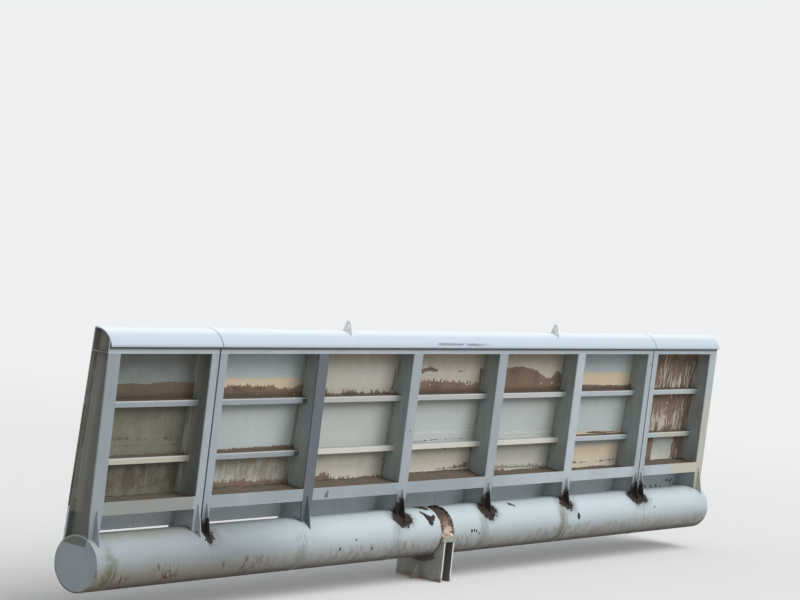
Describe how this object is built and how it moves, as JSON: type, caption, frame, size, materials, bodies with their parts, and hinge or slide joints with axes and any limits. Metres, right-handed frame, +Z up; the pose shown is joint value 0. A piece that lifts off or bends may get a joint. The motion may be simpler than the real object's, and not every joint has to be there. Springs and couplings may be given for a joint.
{
  "type": "bottom-hinged sluice gate",
  "caption": "Flap gate leaf of steel plate on vertical ribs and beams, with a rolled crest, welded along a torque tube that turns in a saddle pedestal.",
  "frame": {"origin": "middle of the pedestal's underside, below the torque tube's axis", "axes": "+X along the torque tube, +Y upstream, +Z up"},
  "size_m": [13.01, 0.7, 3.2582],
  "materials": {
    "tube_paint": "semi-matt pale blue-grey paint, stained with mud low down",
    "journal_steel": "steel under brown mud and grease",
    "skin_paint": "pale paint with cream and brown mud stains",
    "crest_paint": "clean pale blue paint, slight sheen",
    "frame_paint": "semi-matt pale blue-grey paint",
    "pedestal_paint": "grey paint, dusty and muddy",
    "bearing_steel": "dark steel with mud"
  },
  "bodies": {
    "pedestal": {"saddle_shell": "bearing_steel", "seat_pad_front": "pedestal_paint", "seat_pad_rear": "pedestal_paint", "cheek_left": "pedestal_paint", "cheek_right": "pedestal_paint", "pedestal_front_web": "pedestal_paint", "pedestal_middle_web": "pedestal_paint", "pedestal_rear_web": "pedestal_paint", "pedestal_gussets": "pedestal_paint"},
    "leaf": {"tube_left": "tube_paint", "tube_middle_left": "tube_paint", "tube_journal": "journal_steel", "tube_middle_right": "tube_paint", "tube_right": "tube_paint", "tube_end_discs": "tube_paint", "skin_left": "skin_paint", "skin_middle": "skin_paint", "skin_right": "skin_paint", "crest_left": "crest_paint", "crest_middle": "crest_paint", "crest_right": "crest_paint", "crest_diaphragms": "crest_paint", "top_beam_left": "frame_paint", "top_beam_middle": "frame_paint", "top_beam_right": "frame_paint", "stringers_left": "frame_paint", "stringers_middle": "frame_paint", "stringers_right": "frame_paint", "lower_beam_left": "frame_paint", "lower_beam_middle": "frame_paint", "lower_beam_right": "frame_paint", "rib_1": "frame_paint", "joint_rib_1_left": "frame_paint", "joint_rib_1_right": "frame_paint", "rib_2": "frame_paint", "rib_3": "frame_paint", "rib_4": "frame_paint", "rib_5": "frame_paint", "joint_rib_2_left": "frame_paint", "joint_rib_2_right": "frame_paint", "rib_6": "frame_paint", "foot_gussets": "frame_paint", "lifting_lug_left": "crest_paint", "lifting_lug_right": "crest_paint"}
  },
  "joints": [
    {"name": "leaf_hinge", "type": "hinge", "parent": "pedestal", "child": "leaf", "pos_m": [0, 0, 0.6], "axis": [1, 0, 0], "range_deg": [0, 85]}
  ]
}
